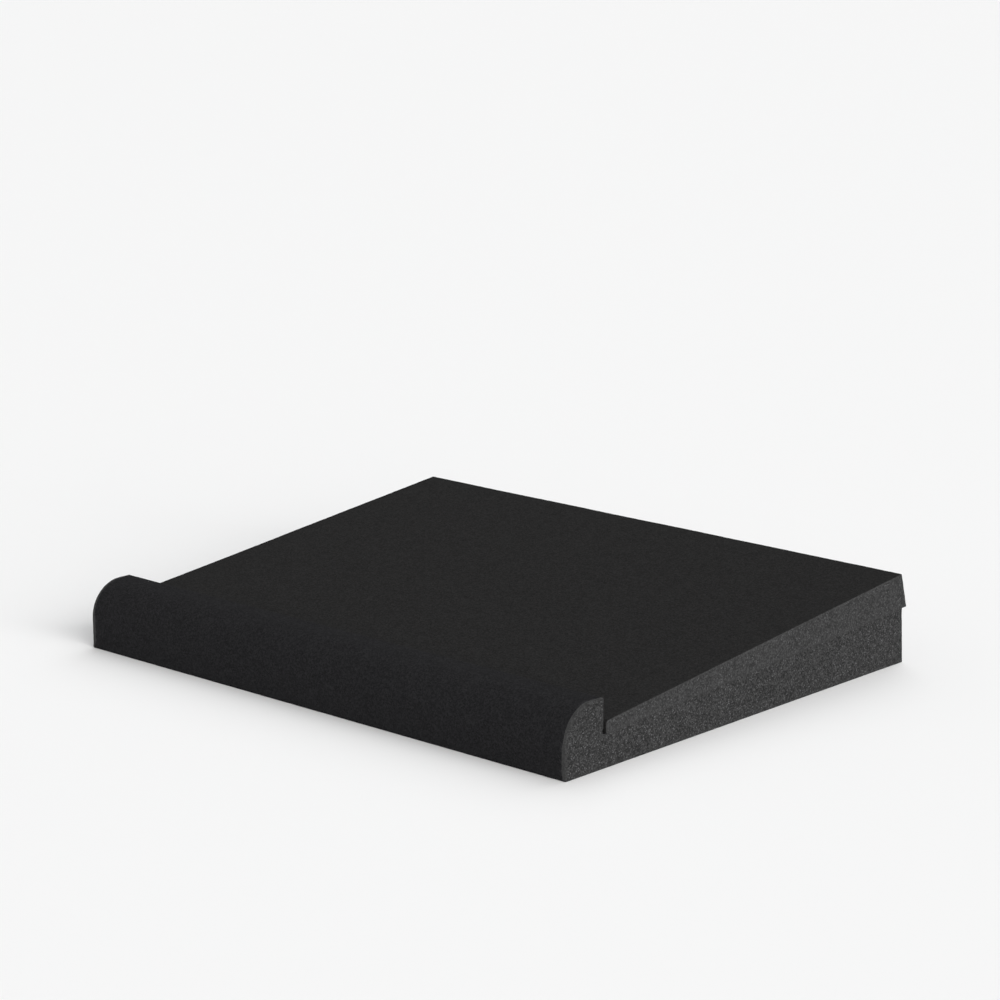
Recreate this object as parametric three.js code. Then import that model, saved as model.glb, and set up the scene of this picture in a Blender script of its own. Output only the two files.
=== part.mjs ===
// Foam isolation pad in two loose pieces: a base that is cut with a raised front lip and a
// gently rising seat, and a wedge insert that lies on the seat behind the lip and stands out a
// little past both of its ends. With its thin end to the lip the insert adds to the slope, and
// turned round it makes the top level.
// Millimetres, +Z up. X runs along the lip, the lip faces -Y, and the origin is on the ground
// under the middle of the whole pad.

import * as THREE from "three";

// Driving dimensions of the base
const BASE_WIDTH = 380;
const BASE_DEPTH = 304.5;
const LIP_HEIGHT = 40;
const LIP_THICKNESS = 30.8;
const LIP_FRONT_RADIUS = 21.5;
const LIP_BACK_RADIUS = 1.5;
const SEAT_FRONT_HEIGHT = 19.4;
const SEAT_ANGLE = 3.1;
const RELIEF_RADIUS = 1.6;
const RELIEF_DEPTH = 1.1;

// Driving dimensions of the insert
const INSERT_WIDTH = 382;
const NOSE_THICKNESS = 7.2;
const NOSE_RADIUS = 2.5;
const INSERT_ANGLE = 2.95;
const INSERT_BACK_LEAN = 11.5;

// How the two pieces sit together
const NOSE_GAP = 1;
const INSERT_OVERHANG = 3;
const SEAT_CLEARANCE = 0.3;

// The worn-soft edge round each end face, the same on both pieces
const END_EDGE_RADIUS = 1;
const END_EDGE_STEPS = 3;
const ARC_STEPS = 18;

const QUARTER_TURN = Math.PI / 2;
const seatTilt = THREE.MathUtils.degToRad(SEAT_ANGLE);
const insertTilt = THREE.MathUtils.degToRad(INSERT_ANGLE);
const backLean = THREE.MathUtils.degToRad(INSERT_BACK_LEAN);

// Height of the seat at a distance y behind the front face
function seatHeight(y) {
  return SEAT_FRONT_HEIGHT + (y - LIP_THICKNESS) * Math.tan(seatTilt);
}

// Top of the base's back face, which is cut square to the seat
function seatBackEdge() {
  const faceHeight = seatHeight(BASE_DEPTH) * Math.cos(seatTilt);
  return new THREE.Vector2(
    BASE_DEPTH - faceHeight * Math.sin(seatTilt),
    faceHeight * Math.cos(seatTilt),
  );
}

// A round groove at the foot of the lip's back face. It touches the seat and bites into the lip.
function cutRelief(outline) {
  const centreY = LIP_THICKNESS - RELIEF_DEPTH + RELIEF_RADIUS;
  const centreZ = seatHeight(centreY) + RELIEF_RADIUS / Math.cos(seatTilt);
  const onSeat = seatTilt - QUARTER_TURN;
  const onLip = Math.acos((LIP_THICKNESS - centreY) / RELIEF_RADIUS);
  outline.absarc(centreY, centreZ, RELIEF_RADIUS, onSeat, onLip, true);
}

// Side outline of the base, from its front foot round under the pad, with y to the back
function baseOutline() {
  const frontRadius = Math.min(LIP_FRONT_RADIUS, LIP_THICKNESS - LIP_BACK_RADIUS);
  const backEdge = seatBackEdge();
  const outline = new THREE.Shape();
  outline.moveTo(0, 0);
  outline.lineTo(BASE_DEPTH, 0);
  outline.lineTo(backEdge.x, backEdge.y);
  cutRelief(outline);
  outline.absarc(
    LIP_THICKNESS - LIP_BACK_RADIUS, LIP_HEIGHT - LIP_BACK_RADIUS,
    LIP_BACK_RADIUS, 0, QUARTER_TURN,
  );
  outline.absarc(
    frontRadius, LIP_HEIGHT - frontRadius,
    frontRadius, QUARTER_TURN, 2 * QUARTER_TURN,
  );
  outline.closePath();
  return outline;
}

// Length of the insert's flat underside, from its nose to past the seat's back edge
function insertLength() {
  const noseY = LIP_THICKNESS + NOSE_GAP;
  return (seatBackEdge().x - noseY) / Math.cos(seatTilt) + INSERT_OVERHANG;
}

// Side outline of the insert as it lies on a flat table, from the foot of its nose
function insertOutline() {
  const length = insertLength();
  const slope = Math.tan(insertTilt);
  const backFace = (NOSE_THICKNESS + length * slope)
    / (Math.cos(backLean) + Math.sin(backLean) * slope);
  const radius = Math.min(NOSE_RADIUS, NOSE_THICKNESS / 2);
  const arcHeight = NOSE_THICKNESS + radius * slope - radius / Math.cos(insertTilt);
  const outline = new THREE.Shape();
  outline.moveTo(0, 0);
  outline.lineTo(length, 0);
  outline.lineTo(length - backFace * Math.sin(backLean), backFace * Math.cos(backLean));
  outline.absarc(radius, arcHeight, radius, QUARTER_TURN + insertTilt, 2 * QUARTER_TURN);
  outline.closePath();
  return outline;
}

// Carries a side outline across a piece's width, with the edge round each end face rounded
function acrossWidth(outline, width) {
  const geometry = new THREE.ExtrudeGeometry(outline, {
    depth: width - 2 * END_EDGE_RADIUS,
    curveSegments: ARC_STEPS,
    bevelEnabled: true,
    bevelThickness: END_EDGE_RADIUS,
    bevelSize: END_EDGE_RADIUS,
    bevelOffset: -END_EDGE_RADIUS,
    bevelSegments: END_EDGE_STEPS,
  });
  geometry.translate(0, 0, END_EDGE_RADIUS - width / 2);
  const alongDepth = new THREE.Vector3(0, 1, 0);
  const upwards = new THREE.Vector3(0, 0, 1);
  const alongWidth = new THREE.Vector3(1, 0, 0);
  geometry.applyMatrix4(new THREE.Matrix4().makeBasis(alongDepth, upwards, alongWidth));
  return geometry;
}

// Matt open-cell foam
function foamMaterial(color) {
  return new THREE.MeshStandardMaterial({ color, roughness: 0.95, metalness: 0 });
}

function makeBase() {
  const mesh = new THREE.Mesh(acrossWidth(baseOutline(), BASE_WIDTH), foamMaterial(0x37373a));
  mesh.name = "base";
  return mesh;
}

function makeInsert() {
  const mesh = new THREE.Mesh(acrossWidth(insertOutline(), INSERT_WIDTH), foamMaterial(0x3c3c3d));
  const noseY = LIP_THICKNESS + NOSE_GAP;
  mesh.name = "wedge_insert";
  mesh.position.set(
    0,
    noseY - SEAT_CLEARANCE * Math.sin(seatTilt),
    seatHeight(noseY) + SEAT_CLEARANCE * Math.cos(seatTilt),
  );
  mesh.rotation.x = seatTilt;
  return mesh;
}

// Both pieces together, moved so that the middle of their whole depth is over the origin
function makePad() {
  const pad = new THREE.Group();
  pad.add(makeBase(), makeInsert());
  const backY = new THREE.Box3().setFromObject(pad, true).max.y;
  pad.position.y = -backY / 2;
  pad.updateMatrixWorld(true);
  return pad;
}

export default makePad();
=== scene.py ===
# Looks of the foam isolation pad: the base with its front lip and the loose wedge insert, as two
# finely meshed pieces of cut foam, on a plain pale floor in soft studio light. Lengths in metres.
import math
from collections import namedtuple

import bpy
import numpy as np
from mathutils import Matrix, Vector, noise
from mathutils.geometry import delaunay_2d_cdt


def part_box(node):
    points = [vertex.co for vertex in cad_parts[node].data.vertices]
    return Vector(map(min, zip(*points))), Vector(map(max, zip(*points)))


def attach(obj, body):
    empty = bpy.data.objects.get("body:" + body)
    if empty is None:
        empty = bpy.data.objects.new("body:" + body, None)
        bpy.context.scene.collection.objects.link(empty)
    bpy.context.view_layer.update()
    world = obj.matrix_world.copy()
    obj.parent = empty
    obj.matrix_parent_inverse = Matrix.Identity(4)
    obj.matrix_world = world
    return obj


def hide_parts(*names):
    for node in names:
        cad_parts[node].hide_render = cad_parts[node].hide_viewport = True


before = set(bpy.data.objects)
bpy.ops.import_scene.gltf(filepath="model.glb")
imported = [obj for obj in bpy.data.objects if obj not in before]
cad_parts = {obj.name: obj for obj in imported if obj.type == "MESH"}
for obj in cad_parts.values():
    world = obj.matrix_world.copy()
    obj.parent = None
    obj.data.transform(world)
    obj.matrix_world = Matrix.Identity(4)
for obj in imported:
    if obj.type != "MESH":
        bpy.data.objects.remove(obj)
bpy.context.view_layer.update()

BASE_LOW, BASE_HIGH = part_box("base")
INSERT_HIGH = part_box("wedge_insert")[1]

# The pad's outline seen from its end: y runs to the back, z up
BASE_HALF_WIDTH = BASE_HIGH.x
INSERT_HALF_WIDTH = INSERT_HIGH.x
FRONT_Y = BASE_LOW.y
BACK_Y = BASE_HIGH.y
LIP_HEIGHT = BASE_HIGH.z
LIP_THICKNESS = 0.0308
LIP_FRONT_RADIUS = 0.0215
LIP_BACK_RADIUS = 0.0012
SEAT_FRONT_HEIGHT = 0.0194
SEAT_ANGLE = math.radians(3.1)
RELIEF_RADIUS = 0.0016
RELIEF_DEPTH = 0.0011
RELIEF_STEPS = 8
NOSE_GAP = 0.0010
NOSE_THICKNESS = 0.0072
NOSE_RADIUS = 0.0025
INSERT_ANGLE = math.radians(2.95)
INSERT_BACK_LEAN = math.radians(11.5)

# The solid insert's clearance over the seat, and the hairline that is left of it here
SEAT_CLEARANCE = 0.0003
CONTACT_GAP = 0.00003

# Radii of the outline's small corners: the feet, the base's front foot and the insert's back top
FOOT_RADIUS = 0.0005
FRONT_FOOT_RADIUS = 0.0010
CROWN_RADIUS = 0.0007
LEAST_CORNER_STEPS = 3

# Radii of the edge round each end face, which differ from side to side of the outline
FRONT_EDGE = 0.0010
FREE_EDGE = 0.0005
BACK_EDGE = 0.0003
FOOT_EDGE = 0.0005
SEAM_EDGE = 0.00012
INSERT_SEAM_EDGE = 0.0003
END_EDGE_STEPS = 4

# The share of a corner's radius that the end edge may take there, and how often a change of radius
# is spread to its neighbours
CORNER_ROOM = 0.95
SPREAD_PASSES = 6

# How far the ends' paler colour reaches round the edge on to each side, as a painted highlight band of
# the lit end edge, and how sharply it stops
FRONT_LIT_BAND = 0.0028
LIP_TOP_LIT_BAND = 0.0014
CUT_FADE = 0.0001

# The plainer, paler band along an end face's outline, its paleness a painted highlight: its width, how
# much stronger the painted highlight is where the end edge wraps round, and the share of the edge's
# radius at which that begins
RIM_WIDTH = 0.0016
WRAP_RIM_HIGHLIGHT = 2.6
WRAP_START = 0.3

# Mesh steps on the faces that show, inside the slot and on the faces that lie on something
FINE_STEP = 0.0016
SLOT_STEP = 0.0008
HIDDEN_STEP = 0.0060
WIDTH_STEP = 0.0018
END_FACE_STEP = 0.0011

# On an end face, as shares of its mesh step: how far points stray from the grid, and how near they
# come to the outline. Points nearer than the merge distance become one.
END_FACE_STRAY = 0.12
END_FACE_MARGIN = 0.55
MERGE_DISTANCE = 1e-7

# Unevenness of the cut faces: a slow wander of the blade and the torn cells' grain
WANDER = 0.00016
WANDER_LENGTH = 0.045
GRAIN = 0.00010
GRAIN_LENGTH = 0.0028
GRAIN_SOFTNESS = 0.8
GRAIN_SPLIT = 2.0
GRAIN_LAYERS = 2
SEED_SHIFT = (1.7, 0.9, 2.3)

# Where the unevenness fades out: over the floor, off the seat, from just above the seat, and short
# of the relief groove in the lip
FLOOR_FADE = 0.004
SEAT_FADE = 0.003
SEAT_MARGIN = 0.0005
GROOVE_MARGIN = 0.001

# Cells, flecks, fine grain and cloudy patches across a metre of foam
CELLS_PER_METRE = 1250.0
FLECKS_PER_METRE = 850.0
GRAIN_PER_METRE = 2100.0
MOTTLE_PER_METRE = 110.0
GRAIN_DETAIL = 2.0
MOTTLE_DETAIL = 4.0

# How the shade varies: most cells are dim and a few bright, about a middle, and each share adds to it
CELL_SKEW = 1.6
CELL_MIDDLE = 0.38
CELL_SHARE = 0.55
END_CELL_SHARE = 0.75
WALL_SHARE = 0.25
GRAIN_SHARE = 0.5
MOTTLE_SHARE = 0.22
RIM_HIGHLIGHT_SHARE = 0.20
DARKEST_SHADE = 0.25
WALL_SPAN = (0.03, 0.30)

# Painted glints, bright flecks where cells catch the light: their colour, how far their shapes are
# pulled about, which of the random values give one, and how each one fades from its middle. The small
# ones are one cell wide.
PAINTED_GLINT_COLOR = (0.15, 0.15, 0.155, 1)
FLECK_PULL = (0.0005, 0.0005, 0.0005)
FLECK_PULL_DETAIL = 1.0
FLECK_CHANCE = (0.84, 0.98)
FLECK_FADE = (0.20, 0.52)
SMALL_FLECK_CHANCE = (0.86, 1.0)
SMALL_FLECK_FADE = (0.25, 0.62)
SMALL_FLECK_STRENGTH = 0.8

# Relief of the cells, made up of their walls, the grain and each cell's own depth
RELIEF_WALL = 0.5
RELIEF_GRAIN = 0.5
RELIEF_CELL = 0.35
BUMP_STRENGTH = 0.5
BUMP_DEPTH = 0.00035
FOAM_ROUGHNESS = 0.95
FOAM_SHEEN = 0.02

# Each foam's colour on its sides and on its sawn ends, whose paleness is partly the cut and partly
# painted light, and how strongly those ends are speckled, painted glints included
BASE_SIDE_COLOR = (0.0170, 0.0169, 0.0180)
BASE_CUT_AND_LIT_END_COLOR = (0.0285, 0.0285, 0.0287)
BASE_CONTRAST = 0.8
INSERT_SIDE_COLOR = (0.0185, 0.0183, 0.0183)
INSERT_CUT_AND_LIT_END_COLOR = (0.0318, 0.0318, 0.0321)
INSERT_CONTRAST = 0.58

# Seeds of each piece's end face mesh and of its unevenness
BASE_MESH_SEED = 11
BASE_UNEVEN_SEED = 3
INSERT_MESH_SEED = 23
INSERT_UNEVEN_SEED = 7

# The camera stands where the photograph was taken from
CAMERA_PLACE = (1.21776, -1.33051, 0.52446)
CAMERA_AZIMUTH = math.radians(42.37)
CAMERA_ELEVATION = math.radians(13.38)
CAMERA_LENS = 112.46
SENSOR_WIDTH = 36.0
CAMERA_REACH = 100

# Broad soft lights: name, azimuth and elevation in degrees, strength, spread in degrees and colour.
# Azimuth 0 is in front of the pad and 90 to its right.
SUNS = [
    ("key_right", 75, 17, 4.8, 60, (1.0, 0.995, 0.99)),
    ("back_top", 200, 50, 1.2, 60, (0.98, 0.99, 1.0)),
]
SURROUND_COLOR = (1.0, 1.0, 1.0, 1)
SURROUND_STRENGTH = 0.30
FLOOR_REACH = 30.0
FLOOR_COLOR = (0.88, 0.88, 0.88, 1)
FLOOR_ROUGHNESS = 0.9
FLOOR_SHEEN = 0.1

# A corner of an outline, and along the side that follows it: the mesh step, the end edge's radius
# and the reach of the painted highlight band that the ends' paler colour makes round the end edge
Corner = namedtuple("Corner", "y z radius step edge cut", defaults=[0])


def seat_height(y):
    """Height of the base's seat at the distance y behind the front face."""
    return SEAT_FRONT_HEIGHT + (y - LIP_THICKNESS) * math.tan(SEAT_ANGLE)


def seat_back_edge():
    """Top of the base's back face, which is square to the seat."""
    face = seat_height(BACK_Y - FRONT_Y) * math.cos(SEAT_ANGLE)
    return (
        BACK_Y - FRONT_Y - face * math.sin(SEAT_ANGLE),
        face * math.cos(SEAT_ANGLE),
    )


def relief_corners():
    """The round groove at the foot of the lip's back face, from the seat up to the lip."""
    y = LIP_THICKNESS - RELIEF_DEPTH + RELIEF_RADIUS
    z = seat_height(y) + RELIEF_RADIUS / math.cos(SEAT_ANGLE)
    start = SEAT_ANGLE - math.pi / 2
    end = math.acos((LIP_THICKNESS - y) / RELIEF_RADIUS) - 2 * math.pi
    corners = []
    for k in range(RELIEF_STEPS + 1):
        a = start + (end - start) * k / RELIEF_STEPS
        corners.append(Corner(
            y + RELIEF_RADIUS * math.cos(a), z + RELIEF_RADIUS * math.sin(a),
            0, SLOT_STEP, SEAM_EDGE,
        ))
    return corners


def base_corners():
    """The base's outline from its front foot, with y from the front face."""
    depth = BACK_Y - FRONT_Y
    back_y, back_z = seat_back_edge()
    relief = relief_corners()
    return [
        Corner(0, 0, FRONT_FOOT_RADIUS, HIDDEN_STEP, FOOT_EDGE),
        Corner(depth, 0, FOOT_RADIUS, FINE_STEP, BACK_EDGE),
        Corner(back_y, back_z, FOOT_RADIUS, HIDDEN_STEP, SEAM_EDGE),
        *relief[:-1],
        relief[-1]._replace(step=FINE_STEP, edge=FOOT_EDGE),
        Corner(LIP_THICKNESS, LIP_HEIGHT, LIP_BACK_RADIUS, FINE_STEP, FREE_EDGE, LIP_TOP_LIT_BAND),
        Corner(0, LIP_HEIGHT, LIP_FRONT_RADIUS, FINE_STEP, FRONT_EDGE, FRONT_LIT_BAND),
    ]


def insert_corners():
    """The insert's outline from the foot of its nose, laid on the seat, with y from the front face."""
    nose_y = LIP_THICKNESS + NOSE_GAP
    length = fit_insert_length(nose_y)
    low = CONTACT_GAP - SEAT_CLEARANCE
    slope = math.tan(INSERT_ANGLE)
    back = (NOSE_THICKNESS + length * slope) / (
        math.cos(INSERT_BACK_LEAN) + math.sin(INSERT_BACK_LEAN) * slope
    )
    flat = [
        Corner(0, low, FOOT_RADIUS, HIDDEN_STEP, INSERT_SEAM_EDGE),
        Corner(length, low, FOOT_RADIUS, FINE_STEP, BACK_EDGE),
        Corner(
            length - back * math.sin(INSERT_BACK_LEAN), back * math.cos(INSERT_BACK_LEAN),
            CROWN_RADIUS, FINE_STEP, FREE_EDGE,
        ),
        Corner(0, NOSE_THICKNESS, NOSE_RADIUS, SLOT_STEP, FOOT_EDGE),
    ]
    return [lay_on_seat(corner, nose_y) for corner in flat]


def fit_insert_length(nose_y):
    """Length of the insert's underside, which ends where the insert reaches furthest back."""
    nose_back = nose_y - SEAT_CLEARANCE * math.sin(SEAT_ANGLE)
    return (INSERT_HIGH.y - FRONT_Y - nose_back) / math.cos(SEAT_ANGLE)


def lay_on_seat(corner, nose_y):
    """A corner given along and square to the seat, turned and moved to its place over the seat."""
    c, s = math.cos(SEAT_ANGLE), math.sin(SEAT_ANGLE)
    up = corner.z + SEAT_CLEARANCE
    return corner._replace(
        y=nose_y + corner.y * c - up * s,
        z=seat_height(nose_y) + corner.y * s + up * c,
    )


def round_corners(corners):
    """Points (y, z) anticlockwise round the outline with its corners rounded.

    With each point come the end edge's radius and the reach of the painted highlight band round the
    end edge.
    """
    points, edges, rooms, lit_band_reaches = [], [], [], []
    count = len(corners)
    for i, corner in enumerate(corners):
        here = Vector((corner.y, corner.z))
        before, after = corners[i - 1], corners[(i + 1) % count]
        back = (Vector((before.y, before.z)) - here).normalized()
        ahead = (Vector((after.y, after.z)) - here).normalized()
        run_start = here
        if corner.radius > 0:
            half = back.angle(ahead) / 2
            reach = corner.radius / math.tan(half)
            centre = here + (back + ahead).normalized() * corner.radius / math.sin(half)
            run_start = here + ahead * reach
            first = here + back * reach - centre
            turn = first.angle_signed(run_start - centre)
            step = min(corner.step, FINE_STEP)
            steps = max(LEAST_CORNER_STEPS, math.ceil(abs(turn) * corner.radius / step))
            for k in range(steps):
                angle = -turn * k / steps
                c, s = math.cos(angle), math.sin(angle)
                turned = Vector((first.x * c - first.y * s, first.x * s + first.y * c))
                points.append(centre + turned)
                edges.append((before.edge + corner.edge) / 2)
                lit_band_reaches.append((before.cut + corner.cut) / 2)
                rooms.append(CORNER_ROOM * corner.radius)
        end = Vector((after.y, after.z))
        if after.radius > 0:
            nxt = corners[(i + 2) % count]
            onward = (Vector((nxt.y, nxt.z)) - end).normalized()
            half = (-ahead).angle(onward) / 2
            end = end - ahead * (after.radius / math.tan(half))
        run = end - run_start
        steps = max(1, math.ceil(run.length / corner.step))
        for k in range(steps):
            points.append(run_start + run * k / steps)
            edges.append(corner.edge)
            rooms.append(corner.edge)
            lit_band_reaches.append(corner.cut)
    edges = np.minimum(spread_changes(np.array(edges)), np.array(rooms))
    return np.array([(p.x, p.y) for p in points]), edges, spread_changes(np.array(lit_band_reaches))


def spread_changes(values):
    """The values, with steps between neighbours round the loop spread out."""
    for _ in range(SPREAD_PASSES):
        values = (np.roll(values, 1) + 2 * values + np.roll(values, -1)) / 4
    return values


def outward(points):
    """Unit normals of a closed anticlockwise outline."""
    along = np.roll(points, -1, axis=0) - np.roll(points, 1, axis=0)
    normals = np.stack([along[:, 1], -along[:, 0]], axis=1)
    return normals / np.linalg.norm(normals, axis=1, keepdims=True)


def rings_across(points, edges, lit_band_reaches, half_width):
    """The outline repeated across the width, as (x, y, z) rings, drawn in round both end edges."""
    normals = outward(points)
    steps = np.arange(END_EDGE_STEPS + 1) / END_EDGE_STEPS * math.pi / 2
    # The side rings begin past the end edge and the painted highlight band round it
    lit_band_stop = np.maximum(lit_band_reaches, edges + CUT_FADE)

    def end_ring(side, angle):
        drawn_in = edges * (1 - math.cos(angle))
        x = side * (half_width - edges * (1 - math.sin(angle)))
        return np.column_stack([x, points - normals * drawn_in[:, None]])

    def side_ring(x):
        return np.column_stack([x, points])

    rings = [end_ring(-1, angle) for angle in steps[::-1]]
    rings.append(side_ring(lit_band_stop - half_width))
    count = math.ceil(2 * half_width / WIDTH_STEP)
    span = half_width - lit_band_stop - CUT_FADE
    rings.extend(side_ring((2 * k / count - 1) * span) for k in range(count + 1))
    rings.append(side_ring(half_width - lit_band_stop))
    rings.extend(end_ring(1, angle) for angle in steps)
    return rings


def inside(points, outline):
    """For each point, whether it lies inside the closed outline, by counting crossings."""
    y, z = points[:, 0][:, None], points[:, 1][:, None]
    y0, z0 = outline[:, 0], outline[:, 1]
    y1, z1 = np.roll(y0, -1), np.roll(z0, -1)
    spans = (z0 > z) != (z1 > z)
    rise = np.where(z1 == z0, 1, z1 - z0)
    crossing = y0 + (z - z0) * (y1 - y0) / rise
    return (spans & (y < crossing)).sum(axis=1) % 2 == 1


def distance_to(points, outline):
    """For each point, its distance to the closed outline, whose points all differ."""
    along = np.roll(outline, -1, axis=0) - outline
    best = np.full(len(points), np.inf)
    for a, d in zip(outline, along):
        t = np.clip(((points - a) @ d) / (d ** 2).sum(), 0, 1)
        best = np.minimum(best, np.linalg.norm(points - a - t[:, None] * d, axis=1))
    return best


def scatter_inside(outline, seed):
    """Points in a jittered triangular grid inside an end face."""
    rng = np.random.default_rng(seed)
    low, high = outline.min(axis=0), outline.max(axis=0)
    row = END_FACE_STEP * math.sqrt(3) / 2
    grid = []
    for j, z in enumerate(np.arange(low[1], high[1], row)):
        shift = END_FACE_STEP / 2 * (j % 2)
        y = np.arange(low[0] + shift, high[0], END_FACE_STEP)
        grid.append(np.column_stack([y, np.full(len(y), z)]))
    grid = np.concatenate(grid)
    grid += rng.uniform(-END_FACE_STRAY, END_FACE_STRAY, grid.shape) * END_FACE_STEP
    grid = grid[inside(grid, outline)]
    return grid[distance_to(grid, outline) > END_FACE_MARGIN * END_FACE_STEP]


def fill_end(ring, seed):
    """The extra points inside an end face, and its triangles, which count the ring's points first."""
    outline = ring[:, 1:]
    extra = scatter_inside(outline, seed)
    flat = [Vector(p) for p in np.concatenate([outline, extra])]
    count = len(outline)
    sides = [(i, (i + 1) % count) for i in range(count)]
    _, _, faces, origins, _, _ = delaunay_2d_cdt(flat, sides, [], 1, MERGE_DISTANCE)
    first = [o[0] for o in origins]
    return extra, [[first[i] for i in face] for face in faces]


def foam_block(name, corners, half_width, seed):
    """A closed, finely meshed block with that outline, carried across the pad's width."""
    points, edges, lit_band_reaches = round_corners(corners)
    points[:, 0] += FRONT_Y
    rings = rings_across(points, edges, lit_band_reaches, half_width)
    count = len(points)
    verts = np.concatenate(rings)
    faces = []
    for r in range(len(rings) - 1):
        a, b = r * count, (r + 1) * count
        for i in range(count):
            j = (i + 1) % count
            faces.append((a + i, a + j, b + j, b + i))
    for side, ring_index in ((-1, 0), (1, len(rings) - 1)):
        extra, triangles = fill_end(rings[ring_index], seed + side)
        offset = len(verts)
        x = np.full(len(extra), side * half_width)
        verts = np.concatenate([verts, np.column_stack([x, extra])])
        numbers = [*range(ring_index * count, (ring_index + 1) * count)]
        numbers.extend(range(offset, offset + len(extra)))
        for t in triangles:
            loop = [numbers[i] for i in t]
            faces.append(loop if side > 0 else loop[::-1])
    mesh = bpy.data.meshes.new(name)
    mesh.from_pydata(verts.tolist(), [], faces)
    mesh.validate()
    mesh.polygons.foreach_set("use_smooth", [True] * len(mesh.polygons))
    all_edges, all_lit_band_reaches = np.tile(edges, len(rings)), np.tile(lit_band_reaches, len(rings))
    mark_end_faces(mesh, points, half_width, all_edges, all_lit_band_reaches)
    piece = bpy.data.objects.new(name, mesh)
    bpy.context.scene.collection.objects.link(piece)
    return piece


def mesh_points(mesh):
    """The mesh's vertex places as an array."""
    flat = np.empty(len(mesh.vertices) * 3)
    mesh.vertices.foreach_get("co", flat)
    return flat.reshape(-1, 3)


def mark_end_faces(mesh, outline, half_width, edges, lit_band_reaches):
    """Stores, for the material, where the ends' paler colour shows, partly painted light, with its
    painted highlight band round the end edge, and how near each point is to the outline, for a painted
    highlight there.

    The rings' points come first in the mesh, and edges and the band's reaches hold a value for each of
    them.
    """
    places = mesh_points(mesh)
    end_and_lit_band = np.ones(len(places))
    from_end = half_width - np.abs(places[:len(lit_band_reaches), 0])
    # The ends' paler colour, partly painted light, reaching round the end edge as a painted highlight
    # band
    end_and_lit_band[:len(lit_band_reaches)] = np.clip(1 - (from_end - lit_band_reaches) / CUT_FADE, 0, 1)
    # Painted highlight along the end faces' outline, stronger where the end edge wraps round
    lit_rim = np.zeros(len(places))
    on_end = end_and_lit_band > 0
    away = distance_to(places[on_end][:, 1:], outline)
    lit_rim[on_end] = np.clip(1 - away / RIM_WIDTH, 0, 1)
    wrapped = np.clip(from_end / edges - WRAP_START, 0, 1) * (end_and_lit_band[:len(lit_band_reaches)] > 0)
    lit_rim[:len(lit_band_reaches)] += WRAP_RIM_HIGHLIGHT * wrapped
    for label, values in (("end_face_and_lit_band", end_and_lit_band), ("lit_rim", lit_rim)):
        layer = mesh.attributes.new(label, "FLOAT", "POINT")
        layer.data.foreach_set("value", values)


def roughen(piece, resting, seed):
    """Moves the surface in and out a little, as cut foam is never flat, but not where it rests."""
    mesh = piece.data
    places = mesh_points(mesh)
    normals = np.empty(len(mesh.vertices) * 3)
    mesh.vertex_normals.foreach_get("vector", normals)
    normals = normals.reshape(-1, 3)
    free = resting(places)
    offset = Vector([seed * shift for shift in SEED_SHIFT])
    moves = np.zeros(len(places))
    for i, p in enumerate(places):
        if free[i] <= 0:
            continue
        at = Vector(p)
        slow = noise.noise(at / WANDER_LENGTH + offset)
        fine = noise.fractal(
            at / GRAIN_LENGTH + offset, GRAIN_SOFTNESS, GRAIN_SPLIT, GRAIN_LAYERS,
        )
        moves[i] = free[i] * (WANDER * slow + GRAIN * fine - GRAIN)
    places += normals * moves[:, None]
    mesh.vertices.foreach_set("co", places.ravel())
    mesh.update()


def above_ground(places):
    """0 on the base's underside, its seat and inside the seam, 1 on what shows."""
    y = places[:, 1] - FRONT_Y
    seat = np.array([seat_height(v) for v in y])
    over_floor = np.clip(places[:, 2] / FLOOR_FADE, 0, 1)
    off_seat = np.clip(np.abs(places[:, 2] - seat) / SEAT_FADE, 0, 1)
    off_seat[y < LIP_THICKNESS - RELIEF_DEPTH - GROOVE_MARGIN] = 1
    return over_floor * off_seat


def above_seat(places):
    """0 on the insert's underside, 1 on what shows."""
    y = places[:, 1] - FRONT_Y
    seat = np.array([seat_height(v) for v in y])
    return np.clip((places[:, 2] - seat - SEAT_MARGIN) / SEAT_FADE, 0, 1)


class Nodes:
    """Adds nodes to a material's tree."""

    def __init__(self, material):
        material.use_nodes = True
        self.tree = material.node_tree
        self.tree.nodes.clear()

    def add(self, kind, settings=None, **inputs):
        """A node, with each input found by its name, or by its number as in i0, and set or linked."""
        made = self.tree.nodes.new(kind)
        for key, value in (settings or {}).items():
            setattr(made, key, value)
        for key, value in inputs.items():
            numbered = key[0] == "i" and key[1:].isdigit()
            socket = made.inputs[int(key[1:]) if numbered else key]
            if isinstance(value, bpy.types.NodeSocket):
                self.tree.links.new(value, socket)
            else:
                socket.default_value = value
        return made

    def math(self, operation, a, b, clamp=False):
        settings = {"operation": operation, "use_clamp": clamp}
        return self.add("ShaderNodeMath", settings, i0=a, i1=b).outputs[0]

    def plus(self, total, share, value, middle):
        """The total, plus that share of how far the value is from its middle."""
        apart = self.math("SUBTRACT", value, middle)
        return self.math("ADD", total, self.math("MULTIPLY", apart, share))

    def span(self, value, low, high, to_low, to_high):
        made = self.add(
            "ShaderNodeMapRange", {"interpolation_type": "SMOOTHSTEP"},
            i0=value, i1=low, i2=high, i3=to_low, i4=to_high,
        )
        return made.outputs[0]

    def voronoi(self, place, feature, scale):
        return self.add("ShaderNodeTexVoronoi", {"feature": feature}, Vector=place, Scale=scale)

    def noise(self, place, scale, detail):
        made = self.add("ShaderNodeTexNoise", None, Vector=place, Scale=scale, Detail=detail)
        return made.outputs["Fac"]

    def mix(self, share, a, b):
        made = self.add("ShaderNodeMix", {"data_type": "RGBA"}, i0=share, i6=a, i7=b)
        return made.outputs[2]


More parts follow.
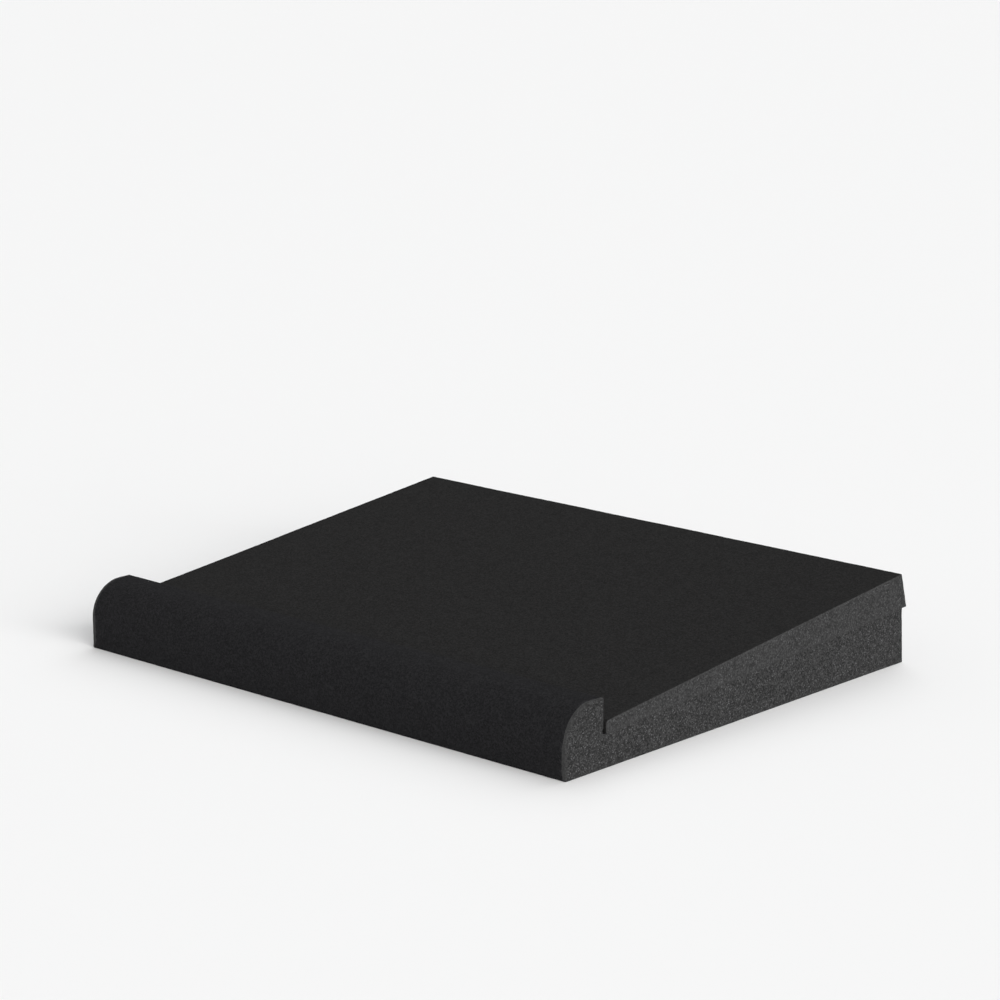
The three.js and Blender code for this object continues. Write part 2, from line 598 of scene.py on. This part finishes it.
def foam_material(name, side_color, cut_and_lit_end_color, contrast):
    """Open-cell foam: every cut cell catches the light differently, its pore is darker than its wall,
    the sawn ends are paler, partly by the cut and partly painted light, with a painted highlight along
    their outline, and on them some cells show painted glints as bright flecks."""
    material = bpy.data.materials.new(name)
    nodes = Nodes(material)
    place = nodes.add("ShaderNodeTexCoord").outputs["Object"]
    # Where the ends' paler colour shows, partly painted light, with its painted highlight band round
    # the end edge
    end = nodes.add("ShaderNodeAttribute", {"attribute_name": "end_face_and_lit_band"}).outputs["Fac"]
    # Where the painted highlight along the end faces' outline shows
    lit_rim = nodes.add("ShaderNodeAttribute", {"attribute_name": "lit_rim"}).outputs["Fac"]
    inner = nodes.math("MULTIPLY", end, nodes.math("SUBTRACT", 1.0, lit_rim, clamp=True))

    cells = nodes.voronoi(place, "F1", CELLS_PER_METRE)
    walls = nodes.voronoi(place, "DISTANCE_TO_EDGE", CELLS_PER_METRE)
    wall = nodes.span(walls.outputs["Distance"], *WALL_SPAN, 1.0, 0.0)
    random_cell = nodes.add("ShaderNodeSeparateColor", None, Color=cells.outputs["Color"])
    lit = nodes.math("POWER", random_cell.outputs[0], CELL_SKEW)
    grain = nodes.noise(place, GRAIN_PER_METRE, GRAIN_DETAIL)
    mottle = nodes.noise(place, MOTTLE_PER_METRE, MOTTLE_DETAIL)

    at_ends = nodes.math("MULTIPLY", inner, END_CELL_SHARE * contrast)
    cell_share = nodes.math("ADD", CELL_SHARE, at_ends)
    shade = nodes.plus(1.0, cell_share, lit, CELL_MIDDLE)
    shade = nodes.plus(shade, WALL_SHARE, wall, 0.5)
    shade = nodes.plus(shade, GRAIN_SHARE, grain, 0.5)
    shade = nodes.plus(shade, MOTTLE_SHARE, mottle, 0.5)
    # Painted highlight along the end faces' outline
    shade = nodes.plus(shade, RIM_HIGHLIGHT_SHARE, lit_rim, 0.0)
    shade = nodes.math("MAXIMUM", shade, DARKEST_SHADE)

    # Painted glints: bright flecks where cells catch the light, on the end faces only
    pull = nodes.add(
        "ShaderNodeTexNoise", None,
        Vector=place, Scale=FLECKS_PER_METRE / 2, Detail=FLECK_PULL_DETAIL,
    )
    pulled = nodes.add(
        "ShaderNodeVectorMath", {"operation": "MULTIPLY_ADD"},
        i0=pull.outputs["Color"], i1=FLECK_PULL, i2=place,
    ).outputs[0]
    specks = nodes.voronoi(pulled, "F1", FLECKS_PER_METRE)
    random_speck = nodes.add("ShaderNodeSeparateColor", None, Color=specks.outputs["Color"])
    glinting = nodes.span(random_speck.outputs[0], *FLECK_CHANCE, 0.0, contrast)
    core = nodes.span(specks.outputs["Distance"], *FLECK_FADE, 1.0, 0.0)
    small_glinting = nodes.span(
        random_cell.outputs[1], *SMALL_FLECK_CHANCE, 0.0, SMALL_FLECK_STRENGTH * contrast,
    )
    small_core = nodes.span(cells.outputs["Distance"], *SMALL_FLECK_FADE, 1.0, 0.0)
    large = nodes.math("MULTIPLY", glinting, core)
    small = nodes.math("MULTIPLY", small_glinting, small_core)
    painted_glint = nodes.math("MULTIPLY", nodes.math("MAXIMUM", large, small), inner)

    # The ends' paler colour, partly the cut and partly painted light
    tone_with_lit_ends = nodes.mix(end, (*side_color, 1), (*cut_and_lit_end_color, 1))
    shaded = nodes.add(
        "ShaderNodeMix", {"data_type": "RGBA", "blend_type": "MULTIPLY"},
        i0=1.0, i6=tone_with_lit_ends, i7=shade,
    ).outputs[2]
    # Mixes in the painted glints
    color = nodes.mix(painted_glint, shaded, PAINTED_GLINT_COLOR)

    height = nodes.math("MULTIPLY", wall, RELIEF_WALL)
    height = nodes.math("ADD", height, nodes.math("MULTIPLY", grain, RELIEF_GRAIN))
    own_depth = nodes.math("MULTIPLY", random_cell.outputs[2], RELIEF_CELL)
    height = nodes.math("ADD", height, own_depth)
    bump = nodes.add(
        "ShaderNodeBump", None, Strength=BUMP_STRENGTH, Distance=BUMP_DEPTH, Height=height,
    ).outputs["Normal"]
    shader = nodes.add(
        "ShaderNodeBsdfPrincipled", None,
        **{
            "Base Color": color, "Normal": bump,
            "Roughness": FOAM_ROUGHNESS, "Specular IOR Level": FOAM_SHEEN,
        },
    )
    nodes.add("ShaderNodeOutputMaterial", None, Surface=shader.outputs["BSDF"])
    return material


def dress(piece, node, material):
    """Puts a foam piece in the place of its solid."""
    piece.data.materials.append(material)
    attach(piece, "root")
    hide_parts(node)


def add_camera():
    """The photograph's camera, made the scene's own."""
    camera = bpy.data.objects.new("camera", bpy.data.cameras.new("camera"))
    camera.location = CAMERA_PLACE
    camera.rotation_euler = (math.pi / 2 - CAMERA_ELEVATION, 0, CAMERA_AZIMUTH)
    camera.data.lens = CAMERA_LENS
    camera.data.sensor_width = SENSOR_WIDTH
    camera.data.clip_end = CAMERA_REACH
    bpy.context.scene.collection.objects.link(camera)
    bpy.context.scene.camera = camera


def add_sun(name, azimuth, elevation, strength, spread, color):
    """A sun that shines from that direction, with its angles in degrees."""
    lamp = bpy.data.lights.new(name, "SUN")
    lamp.energy = strength
    lamp.angle = math.radians(spread)
    lamp.color = color
    holder = bpy.data.objects.new(name, lamp)
    a, e = math.radians(azimuth), math.radians(elevation)
    towards = Vector((math.sin(a) * math.cos(e), -math.cos(a) * math.cos(e), math.sin(e)))
    holder.rotation_euler = towards.to_track_quat("Z", "Y").to_euler()
    bpy.context.scene.collection.objects.link(holder)


def add_floor():
    """A wide pale floor that isn't part of the pad."""
    mesh = bpy.data.meshes.new("floor")
    r = FLOOR_REACH
    mesh.from_pydata([(-r, -r, 0), (r, -r, 0), (r, r, 0), (-r, r, 0)], [], [(0, 1, 2, 3)])
    floor = bpy.data.objects.new("floor", mesh)
    bpy.context.scene.collection.objects.link(floor)
    paint = bpy.data.materials.new("floor_paint")
    nodes = Nodes(paint)
    shader = nodes.add(
        "ShaderNodeBsdfPrincipled", None,
        **{
            "Base Color": FLOOR_COLOR,
            "Roughness": FLOOR_ROUGHNESS, "Specular IOR Level": FLOOR_SHEEN,
        },
    )
    nodes.add("ShaderNodeOutputMaterial", None, Surface=shader.outputs["BSDF"])
    mesh.materials.append(paint)


def add_studio():
    """The floor, the suns and an even pale surround."""
    scene = bpy.context.scene
    scene.view_settings.view_transform = "Standard"
    add_floor()
    world = bpy.data.worlds.new("surround")
    world.use_nodes = True
    background = world.node_tree.nodes["Background"]
    background.inputs["Color"].default_value = SURROUND_COLOR
    background.inputs["Strength"].default_value = SURROUND_STRENGTH
    scene.world = world
    for sun in SUNS:
        add_sun(*sun)


add_camera()
add_studio()

base = foam_block("foam_base", base_corners(), BASE_HALF_WIDTH, BASE_MESH_SEED)
roughen(base, above_ground, BASE_UNEVEN_SEED)
dress(base, "base", foam_material(
    "base_foam_cut", BASE_SIDE_COLOR, BASE_CUT_AND_LIT_END_COLOR, BASE_CONTRAST,
))

insert = foam_block("foam_insert", insert_corners(), INSERT_HALF_WIDTH, INSERT_MESH_SEED)
roughen(insert, above_seat, INSERT_UNEVEN_SEED)
dress(insert, "wedge_insert", foam_material(
    "insert_foam_cut", INSERT_SIDE_COLOR, INSERT_CUT_AND_LIT_END_COLOR, INSERT_CONTRAST,
))
